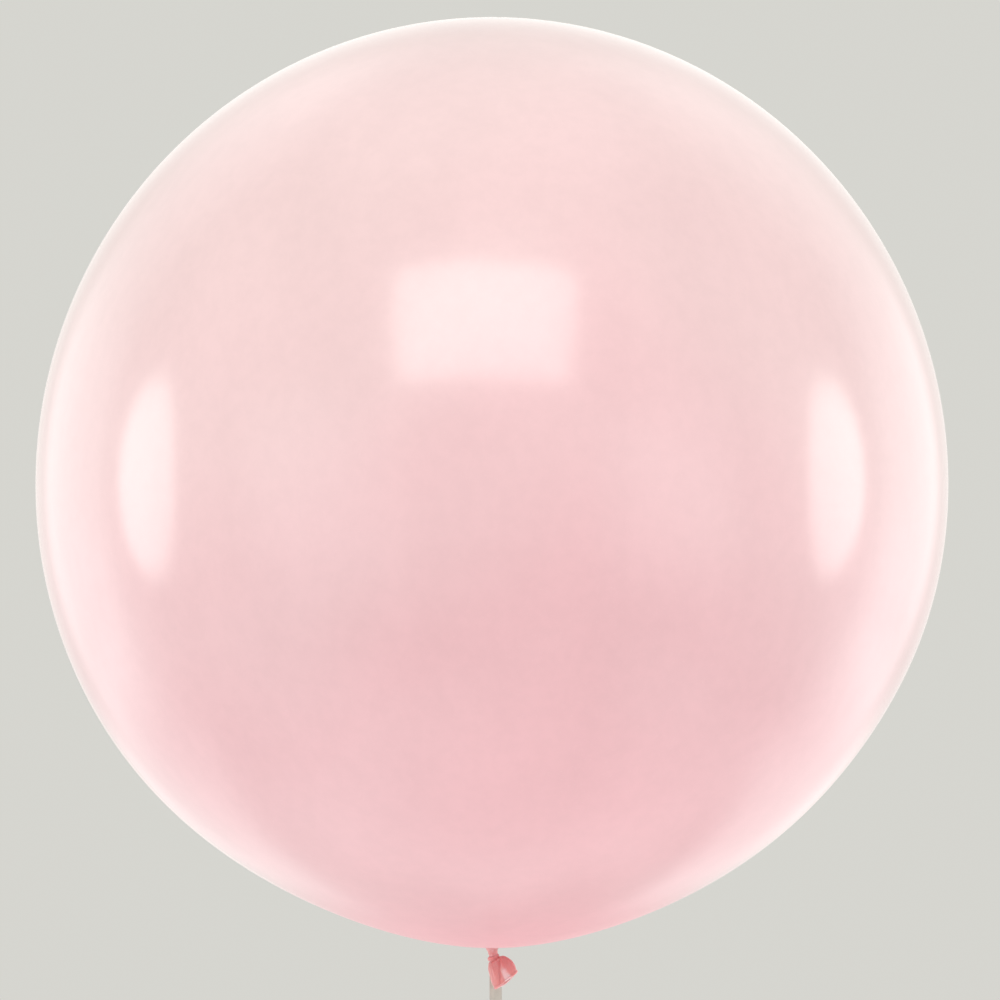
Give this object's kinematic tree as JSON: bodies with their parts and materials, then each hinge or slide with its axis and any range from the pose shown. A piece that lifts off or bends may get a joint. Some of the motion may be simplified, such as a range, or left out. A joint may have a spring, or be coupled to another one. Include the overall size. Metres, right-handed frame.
{
  "type": "latex balloon",
  "caption": "Large round inflated latex balloon, tied off with a knot, with a flared tail and a flat satin ribbon that ends in a hand loop.",
  "frame": {"origin": "on the balloon's axis, where the neck leaves the bulb", "axes": "+Z along the balloon's axis from the neck to the crown, +X to the right and +Y away from the viewer in the front view, so the ribbon's flat faces look along Y"},
  "size_m": [0.9, 0.9, 1.0978],
  "materials": {
    "latex_film": "glossy pastel pink latex, stretched thin, slightly translucent",
    "latex_thick": "deeper pink unstretched latex, satin",
    "latex_lip": "rolled latex bead, satin",
    "ribbon_satin": "warm grey satin weave with woven edges"
  },
  "bodies": {
    "balloon": {"bulb": "latex_film", "neck": "latex_thick", "knot": "latex_thick", "ribbon_hitch": "ribbon_satin", "ribbon_short_end": "ribbon_satin"},
    "tail_root": {"tail_stem": "latex_thick"},
    "tail": {"tail_flare": "latex_thick", "rolled_lip": "latex_lip"},
    "ribbon_top": {"ribbon_gather": "ribbon_satin"},
    "ribbon": {"ribbon_streamer": "ribbon_satin", "ribbon_end_knot": "ribbon_satin"},
    "loop": {"ribbon_hand_loop": "ribbon_satin"}
  },
  "joints": [
    {"name": "tail_bend", "type": "hinge", "parent": "balloon", "child": "tail_root", "pos_m": [0.002, -0.0005, -0.0178], "axis": [-1, 0, 0], "range_deg": [0, 35], "stiffness_Nm_per_rad": 0.0005},
    {"name": "tail_sway", "type": "hinge", "parent": "tail_root", "child": "tail", "pos_m": [0.002, -0.0005, -0.0178], "axis": [0, 1, 0], "range_deg": [-10, 60], "stiffness_Nm_per_rad": 0.0005},
    {"name": "ribbon_sway", "type": "hinge", "parent": "balloon", "child": "ribbon_top", "pos_m": [0.0036, 0.008, -0.02075], "axis": [0, 1, 0], "range_deg": [-45, 45]},
    {"name": "ribbon_bend", "type": "hinge", "parent": "ribbon_top", "child": "ribbon", "pos_m": [0.0036, 0.008, -0.028], "axis": [1, 0, 0], "range_deg": [0, 60]},
    {"name": "loop_swing", "type": "hinge", "parent": "ribbon", "child": "loop", "pos_m": [0.0036, 0.008, -0.109], "axis": [1, 0, 0], "range_deg": [-60, 60]}
  ]
}
